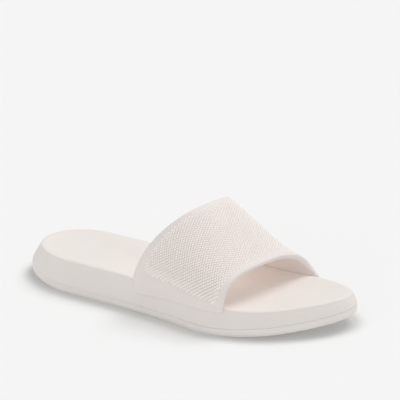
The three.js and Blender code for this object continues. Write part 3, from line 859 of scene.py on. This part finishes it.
@dataclass
class Strap:
    """The upper: one hollow arch with a raised front lip and low dots, on tabs at both sides."""

    form: SoleForm
    finish: MouldedFoam
    rear_rise: float = 56.0
    front_rise: float = 24.2
    rear_lean: float = 32.0
    front_lean: float = 1.0
    inner_flare: float = 7.5
    crown_offset: float = 3.5
    lean_curve: float = 1.6
    flare_curve: float = 4.0
    wall: float = 3.8
    tab_wall: float = 2.25
    wall_growth: float = 3.0
    tab_drop_rear: float = 10.5
    tab_drop_front: float = 2.4
    tab_corner: float = 5.0
    lip_width: float = 5.2
    lip_step: float = 0.5
    lip_ramp: float = 1.2
    edge_round: float = 1.6
    clearance: float = 0.05
    row_spacing: float = 1.5
    column_spacing: float = 1.9
    dot_columns: int = 27
    dot_row_pitch: float = 1.64
    dot_length: float = 2.1  # along a row
    dot_width: float = 1.9  # along a column
    dot_height: float = 0.6
    dot_cap: float = 0.6  # share of a full dot's half height that stands out of the skin
    plain_rear_foot: float = 8.0  # width without dots along the rear edge, at its ends
    plain_rear_crown: float = 4.5  # and on top of the arch
    plain_front: float = 6.6
    plain_foot: float = 1.2
    lowest_dot: float = 0.3  # share of the full height below which no dot stands
    fade_rear: float = 20.0  # height over which the dots grow above the foot, at the rear
    fade_front: float = 4.0  # and at the front
    painted_shade_edge: float = 3.0  # width over which the painted shade between the dots sets in
    rows: tuple[StrapRow, ...] = (
        StrapRow(0.0, 0.408, 0.49, 1.0, 1.0, 3.0, 2.9),
        StrapRow(0.3, 0.498, 0.59, 0.72, 0.7, 2.8, 2.6),
        StrapRow(0.65, 0.605, 0.702, 0.365, 0.35, 3.2, 2.3),
        StrapRow(1.0, 0.713, 0.811, 0.0, 0.0, 3.6, 2.0),
    )

    def column(self, name: str) -> Curve:
        """The curve of one column of the table of sections."""
        return Curve([row.at for row in self.rows], [getattr(row, name) for row in self.rows])

    @property
    def span(self) -> float:
        """Length of the strap's outer end along the sole."""
        return (self.rows[-1].outer_end - self.rows[0].outer_end) * self.form.length

    def foot(self, side: Side, v: Array, up: Array | float) -> Places:
        """Places on the sole's side under the strap.

        Args:
            side: The side of the sole.
            v: 0 at the rear edge to 1 at the front edge.
            up: How far up the arch the point above the place lies, 0 to 1.

        Returns:
            The places, which sweep forward near the front edge on the inner side.
        """
        if side is Side.OUTER:
            return self.form.side_places(self.column("outer_end")(v) + 0 * up, side)
        flare = self.inner_flare / self.form.length * v * (1 - up) ** self.flare_curve
        return self.form.side_places(self.column("inner_end")(v) + flare, side)

    def arch(self, angle: Array, v: Array) -> Array:
        """Outer skin of the arch.

        Args:
            angle: 0 at the outer end to pi at the inner end.
            v: 0 at the rear edge to 1 at the front edge.

        Returns:
            Points in millimetres.
        """
        form, skin = self.form, self.clearance + self.tab_wall
        up = np.clip(np.sin(angle), 0, 1)
        outer, inner = (
            form.off_wall(place, skin, form.rim(place.share))
            for place in (self.foot(side, v, up) for side in Side)
        )
        to_outer = np.where(np.cos(angle) > 0, 1.0, -1.0)
        power = np.where(to_outer > 0, self.column("outer")(v), self.column("inner")(v))
        across = (1 - to_outer * (1 - up ** power) ** (1 / power)) / 2
        points = mix(outer, inner, across[..., None])
        lean = mix(self.front_lean, self.rear_lean, self.column("lean")(v))
        rise = mix(self.front_rise, self.rear_rise, self.column("rise")(v))
        points[..., 0] += lean * up ** self.lean_curve
        points[..., 1] += self.crown_offset * up
        points[..., 2] += rise * up
        return points

    def arch_normal(self, angle: Array, v: Array) -> Array:
        """Outward normals of the arch."""
        step = 1e-3
        along = self.arch(angle, np.minimum(v + step, 1)) - self.arch(angle, np.maximum(v - step, 0))
        after, before = np.minimum(angle + step, math.pi), np.maximum(angle - step, 0)
        around = self.arch(after, v) - self.arch(before, v)
        return unit(np.cross(along, around))

    def tab_drop(self, v: Array) -> Array:
        """How far a tab reaches below the rim, with its rounded lower rear corner."""
        left = 1 - np.minimum(v * self.span / self.tab_corner, 1)
        corner = self.tab_corner * (1 - np.sqrt(1 - left * left))
        return mix(self.tab_drop_rear, self.tab_drop_front, v) - corner

    def lip_rise(self, v: Array) -> Array:
        """How far the outer skin stands out: the lip and the slope behind it."""
        behind = (1 - v) * self.span - self.lip_width
        return self.lip_step * smooth(1 - behind / self.lip_ramp)

    def places_across(self) -> Array:
        """Places from the rear to the front edge, close together at the edges and the lip."""
        bends = self.edge_round * (1 - np.cos(np.linspace(0, math.pi / 2, 7)))
        lip = self.lip_width + self.lip_ramp * np.linspace(0, 1, 6)
        front = np.concatenate([bends, [2.8, 4.0], lip])
        middle = np.arange(bends[-1], self.span - front[-1] - 0.6, self.column_spacing)[1:]
        return np.concatenate([bends, middle, self.span - front[::-1]]) / self.span

    def angles(self) -> Array:
        """Angles from the outer to the inner end, evenly spaced along the middle of the arch."""
        fine = np.linspace(0, math.pi, 4001)
        points = self.arch(fine, np.full_like(fine, 0.5))
        run = np.concatenate([[0], np.cumsum(np.linalg.norm(np.diff(points, axis=0), axis=1))])
        return np.interp(np.linspace(0, run[-1], round(run[-1] / self.row_spacing) + 1), run, fine)

    def depth(self, depth_sign: int, distance: Array) -> Array:
        """Depth of a skin in the wall, 0 outside to 1 inside.

        Args:
            depth_sign: 0 for the outer skin and 1 for the inner skin.
            distance: Distance from the nearest edge, where the skins meet in a round.

        Returns:
            Shares of the wall.
        """
        left = 1 - np.clip(distance / self.edge_round, 0, 1)
        inward = (1 - np.sqrt(np.maximum(0, 1 - left * left))) / 2
        return mix(inward, 1 - inward, depth_sign)

    def tab_sheet(self, side: Side, depth_sign: int, v: Array, t: Array) -> Array:
        """One skin of a tab.

        Args:
            side: The side of the sole that it lies on.
            depth_sign: 0 for the outer skin and 1 for the inner skin.
            v: Places from rear to front, a grid of them.
            t: Places from the lower edge (0) to the rim (1), a grid of them.

        Returns:
            Points in millimetres.
        """
        place = self.foot(side, v, 0.0)
        rim = self.form.rim(place.share)
        height = mix(rim - self.tab_drop(v), rim, t)
        edge = np.minimum(np.minimum(v, 1 - v) * self.span, t * self.tab_drop(v))
        depth = self.depth(depth_sign, edge)
        skin = self.tab_wall + self.lip_rise(v) * t
        return self.form.off_wall(place, self.clearance + skin * (1 - depth), height)

    def arch_sheet(self, depth_sign: int, v: Array, angle: Array) -> Array:
        """One skin of the arch, the outer (0) or the inner (1)."""
        wall = mix(self.tab_wall, self.wall, smooth(self.wall_growth * np.sin(angle)))
        depth = self.depth(depth_sign, np.minimum(v, 1 - v) * self.span)
        out = self.lip_rise(v) * (1 - depth) - wall * depth
        return self.arch(angle, v) + self.arch_normal(angle, v) * out[..., None]

    def skin(self) -> bpy.types.Mesh:
        """Makes the closed skin, with the layout of its dots."""
        v, angles = self.places_across(), self.angles()
        r = self.edge_round / self.tab_drop_rear
        t = np.concatenate([r * (1 - np.cos(np.linspace(0, math.pi / 2, 6))), np.linspace(r, 1, 6)[1:]])
        grid_v, grid_t = np.meshgrid(v, t)
        arch_v, arch_angle = np.meshgrid(v, angles[1:-1])
        up = np.concatenate([0 * t, np.sin(angles[1:-1]), 0 * t])
        skin = Skin()
        for sign in (0, 1):
            outer_tab = self.tab_sheet(Side.OUTER, sign, grid_v, grid_t)
            inner_tab = self.tab_sheet(Side.INNER, sign, grid_v, grid_t)[::-1]
            arch = self.arch_sheet(sign, arch_v, arch_angle)
            sheet = np.concatenate([outer_tab, arch, inner_tab]) + self.form.shift
            if sign:
                skin.grid(sheet)
                continue
            skin.grid(sheet.swapaxes(0, 1), *self.layout(sheet, v, up, len(t)))
        return skin.mesh("strap", 50)

    def layout(self, sheet: Array, v: Array, up: Array, tab_rows: int) -> tuple[Array, Array]:
        """Lays the outer skin out flat for the dots.

        Args:
            sheet: The outer skin, rows from the outer to the inner end.
            v: Places from rear to front.
            up: How far up the arch each row lies, 0 to 1.
            tab_rows: Rows of each tab.

        Returns:
            The layout, arc length from the crown and place between the first and the last
            column of dots in metres, with the relief and the share of painted shade between the
            dots there; and for each quad whether dots may stand on it.
        """
        run = np.cumsum(np.linalg.norm(np.diff(sheet, axis=0), axis=2), axis=0)
        run = np.concatenate([np.zeros((1, sheet.shape[1])), run])
        from_crown = run - run[int(np.argmax(up))]
        from_foot = np.minimum(run - run[tab_rows - 1], run[-tab_rows] - run) - self.plain_foot
        rear = mix(self.plain_rear_foot, self.plain_rear_crown, up)[:, None] + self.dot_length / 2
        front = self.span - self.plain_front - self.dot_length / 2
        column = (v * self.span - rear) / (front - rear)
        relief = smooth(from_foot / mix(self.fade_rear, self.fade_front, v))
        painted_shade_in_field = smooth(np.minimum(column, 1 - column) * self.columns_wide / self.painted_shade_edge)
        # The fourth value is the share of painted shade on the skin between the dots.
        flat = np.stack([
            from_crown * MM, column * self.columns_wide * MM, relief, relief * painted_shade_in_field,
        ], -1)
        held = np.minimum(relief[:-1, :-1], relief[1:, 1:]) > self.lowest_dot
        return flat.swapaxes(0, 1), held.T

    @property
    def columns_wide(self) -> float:
        """Width from the first to the last column of dots at the strap's ends."""
        return self.span - self.plain_rear_foot - self.plain_front - self.dot_length

    @property
    def full_dot(self) -> tuple[float, float, float]:
        """Length, width and height of the whole ellipsoid whose cap is a dot."""
        share = math.sqrt(1 - (1 - self.dot_cap) ** 2)
        return self.dot_length / share, self.dot_width / share, 2 * self.dot_height / self.dot_cap

    def dot_tool(self) -> NodeTool:
        """Makes the tree that sets staggered rows of low domes on the patterned faces."""
        tool = NodeTool("strap_dots", {
            "Column Pitch": "Float", "Row Pitch": "Float", "Columns": "Int", "Rows": "Int",
            "Dot Size": "Vector", "Dot Sink": "Float",
        })
        given, maths = tool.given, tool.maths
        marked = tool.make("InputNamedAttribute", {"data_type": "BOOLEAN"}, Name="patterned")
        field_mesh = tool.make(
            "SeparateGeometry", {"domain": "FACE"}, Geometry=given["Geometry"], Selection=marked)
        points = tool.make("Points", Count=maths("MULTIPLY", given["Columns"], given["Rows"]))
        index = tool.make("InputIndex")
        row = maths("MODULO", index, given["Rows"])
        column = maths("FLOOR", maths("DIVIDE", index, given["Rows"]))
        stagger = maths("MULTIPLY", maths("MODULO", row, 2.0), 0.5)
        centred = maths("SUBTRACT", row, maths("MULTIPLY", given["Rows"], 0.5))
        spot = tool.vector(
            X=maths("MULTIPLY", centred, given["Row Pitch"]),
            Y=maths("MULTIPLY", maths("ADD", column, stagger), given["Column Pitch"]))
        beside = tool.vector_maths("ADD", spot, (0, 0.2 * MM, 0))
        layout = tool.make("InputNamedAttribute", {"data_type": "FLOAT_VECTOR"}, Name="layout")
        relief = tool.make("InputNamedAttribute", {"data_type": "FLOAT"}, Name="relief")

        def sample(kind: str, value: bpy.types.NodeSocket, where: bpy.types.NodeSocket) -> Any:
            """Reads a value of the mesh at a place in its layout."""
            return tool.add("GeometryNodeSampleUVSurface", {"data_type": kind}, {
                "Mesh": field_mesh, "Value": value, "UV Map": layout, "Sample UV": where,
            }).outputs

        position = tool.make("InputPosition")
        normal = sample("FLOAT_VECTOR", tool.make("InputNormal"), spot)["Value"]
        here, there = (sample("FLOAT_VECTOR", position, where) for where in (spot, beside))
        height = sample("FLOAT", relief, spot)["Value"]
        turn = tool.add("FunctionNodeAxesToRotation", {"primary_axis": "Z", "secondary_axis": "X"}, {
            0: normal, 1: tool.vector_maths("SUBTRACT", there["Value"], here["Value"]),
        })
        flattened = tool.vector(X=1.0, Y=1.0, Z=height)
        outside = tool.add("FunctionNodeBooleanMath", {"operation": "NAND"}, {
            0: here["Is Valid"], 1: there["Is Valid"],
        })
        capture = tool.add("GeometryNodeCaptureAttribute", {"domain": "POINT"}, {"Geometry": points})
        for kind, name, socket in (
            ("VECTOR", "Place", here["Value"]), ("ROTATION", "Turn", turn.outputs[0]),
            ("VECTOR", "Size", tool.vector_maths("MULTIPLY", given["Dot Size"], flattened)),
            ("BOOLEAN", "Outside", outside.outputs[0]),
        ):
            capture.capture_items.new(kind, name)
            tool.tree.links.new(socket, capture.inputs[name])
        kept = capture.outputs
        inside = tool.make(
            "DeleteGeometry", {"domain": "POINT"},
            Geometry=kept["Geometry"], Selection=kept["Outside"])
        set_down = tool.make("SetPosition", Geometry=inside, Position=kept["Place"])
        dome = tool.make("MeshUVSphere", Segments=8, Rings=4, Radius=0.5)
        dome = tool.make("SetShadeSmooth", Geometry=dome)
        low = tool.vector(Z=maths("MULTIPLY", given["Dot Sink"], -0.5))
        dome = tool.make("Transform", Geometry=dome, Translation=low)
        # The dots carry -1 here: no painted shade on them, and the full painted highlight colour.
        dome = tool.make(
            "StoreNamedAttribute", {"data_type": "FLOAT", "domain": "CORNER"},
            Geometry=dome, Name="gap", Value=-1.0)
        dots = tool.make(
            "InstanceOnPoints", Points=set_down, Instance=dome,
            Rotation=kept["Turn"], Scale=kept["Size"])
        both = tool.add("GeometryNodeJoinGeometry", {}, {"Geometry": given["Geometry"]})
        tool.tree.links.new(dots, both.inputs[0])
        tool.end(both.outputs[0])
        return tool

    def build(self) -> bpy.types.Object:
        """Builds, dresses and seats the strap."""
        piece = place_piece(self.skin())
        half = max(abs(datum.uv[0]) for datum in piece.data.uv_layers["layout"].data)
        self.dot_tool().apply(piece, {
            "Column Pitch": self.columns_wide / (self.dot_columns - 1) * MM,
            "Row Pitch": self.dot_row_pitch * MM,
            "Columns": self.dot_columns,
            "Rows": 2 * math.ceil(half / (self.dot_row_pitch * MM)),
            "Dot Size": tuple(size * MM for size in self.full_dot),
            "Dot Sink": 1 - self.dot_cap,
            "Finish": self.finish.material(),
        })
        piece.name = "strap_visual"
        seat(piece, "strap")
        return piece


# Studio


@dataclass(frozen=True)
class SunLight:
    """A far soft light."""

    name: str
    strength: float
    wide: float  # degrees that it seems wide
    height: float  # degrees above the floor
    way: float  # degrees from +Y towards +X that it stands

    def build(self) -> None:
        """Makes the light."""
        light = bpy.data.lights.new(self.name, "SUN")
        light.energy = self.strength
        light.angle = math.radians(self.wide)
        lamp = bpy.data.objects.new(self.name, light)
        bpy.context.scene.collection.objects.link(lamp)
        height, way = math.radians(self.height), math.radians(self.way)
        flat = math.cos(height)
        stands = Vector((flat * math.sin(way), flat * math.cos(way), math.sin(height)))
        lamp.rotation_euler = stands.to_track_quat("Z", "Y").to_euler()


@dataclass(frozen=True)
class FoamGlow:
    """The light that comes through the thin strap and fills the hollow under it, warmer."""

    name: str = "glow_under_strap"
    power: float = 0.009  # watts
    radius: float = 9.0  # millimetres
    colour: str = "fff1e8"
    place: tuple[float, float, float] = (0.018, 0.006, 0.043)

    def build(self) -> None:
        """Makes the light."""
        light = bpy.data.lights.new(self.name, "POINT")
        light.energy = self.power
        light.color = linear(self.colour)[:3]
        light.shadow_soft_size = self.radius * MM
        lamp = bpy.data.objects.new(self.name, light)
        lamp.location = self.place
        lamp.visible_camera = False
        bpy.context.scene.collection.objects.link(lamp)


@dataclass(frozen=True)
class Studio:
    """Pale paper floor under even light from all round, with a soft main light from above."""

    paper: StudioPaper
    floor_size: float = 12.0  # metres
    sky: str = "ffffff"
    sky_strength: float = 0.63
    bounces: int = 12
    lights: tuple[SunLight | FoamGlow, ...] = (
        SunLight("key_light", 1.22, 32.0, 60.0, 26.0),
        SunLight("fill_light", 0.33, 60.0, 18.0, 192.0),
        FoamGlow(),
    )

    def build(self) -> None:
        """Makes the floor and the lights."""
        half = self.floor_size / 2
        mesh = bpy.data.meshes.new("paper_floor")
        corners = [(-half, -half, 0), (half, -half, 0), (half, half, 0), (-half, half, 0)]
        mesh.from_pydata(corners, [], [(0, 1, 2, 3)])
        mesh.materials.append(self.paper.material())
        place_piece(mesh)

        world = bpy.data.worlds.new("studio_sky")
        world.use_nodes = True
        sky = world.node_tree.nodes["Background"]
        sky.inputs["Color"].default_value = linear(self.sky)
        sky.inputs["Strength"].default_value = self.sky_strength
        bpy.context.scene.world = world

        for light in self.lights:
            light.build()
        cycles = bpy.context.scene.cycles
        cycles.max_bounces, cycles.diffuse_bounces = self.bounces, self.bounces
        view = bpy.context.scene.view_settings
        view.view_transform, view.look = "Standard", "None"
        LOG.info("studio: floor and lights")


@dataclass(frozen=True)
class PhotoCamera:
    """The photograph's camera, worked out from the sole's outline in it."""

    azimuth: float = 29.0  # degrees
    elevation: float = 23.64
    distance: float = 2.0  # metres to the target
    target: tuple[float, float, float] = (0.0, 0.0032, 0.015)
    target_pixel: tuple[float, float] = (186.93, 280.43)
    pixels_per_mm: float = 1.33  # at the target
    frame_pixels: int = 400
    sensor: float = 36.0

    def build(self) -> None:
        """Makes the camera, turned so that the target falls on its pixel."""
        a, e = math.radians(self.azimuth), math.radians(self.elevation)
        back = Vector((math.sin(a) * math.cos(e), -math.cos(a) * math.cos(e), math.sin(e)))
        right = Vector((math.cos(a), math.sin(a), 0))
        up = back.cross(right)
        centre = self.frame_pixels / 2
        aside = (centre - self.target_pixel[0]) / self.pixels_per_mm * MM
        above = (self.target_pixel[1] - centre) / self.pixels_per_mm * MM
        aim = Vector(self.target) + right * aside + up * above
        data = bpy.data.cameras.new("photo_camera")
        data.sensor_width = self.sensor
        data.lens = self.pixels_per_mm * self.distance / MM * self.sensor / self.frame_pixels
        data.clip_start, data.clip_end = 0.05, 50.0
        camera = bpy.data.objects.new("photo_camera", data)
        bpy.context.scene.collection.objects.link(camera)
        camera.location = Vector(self.target) + back * self.distance
        camera.rotation_euler = (camera.location - aim).to_track_quat("Z", "Y").to_euler()
        bpy.context.scene.camera = camera


def main() -> None:
    """Builds the slide piece by piece, then the studio."""
    logging.basicConfig(level=logging.INFO, format="%(name)s: %(message)s")
    form = SoleForm()
    Outsole(form, MouldedFoam("eva_foam_outsole", "f0ebe7", "ece6e1", roughness=0.64)).build()
    Midsole(form, MouldedFoam("eva_foam_midsole", "eee8e4", "eae4df")).build()
    # The strap's dot pattern has painted shade between the dots and a painted highlight on them.
    Strap(form, MouldedFoam(
        "eva_foam_strap", "eee6e2", "e9e1dd", glow=0.0, painted_gap_shade_colour="dfd6d0", painted_dot_highlight_colour="faf3ef",
    )).build()
    Studio(StudioPaper()).build()
    PhotoCamera().build()


if __name__ == "__main__":
    main()
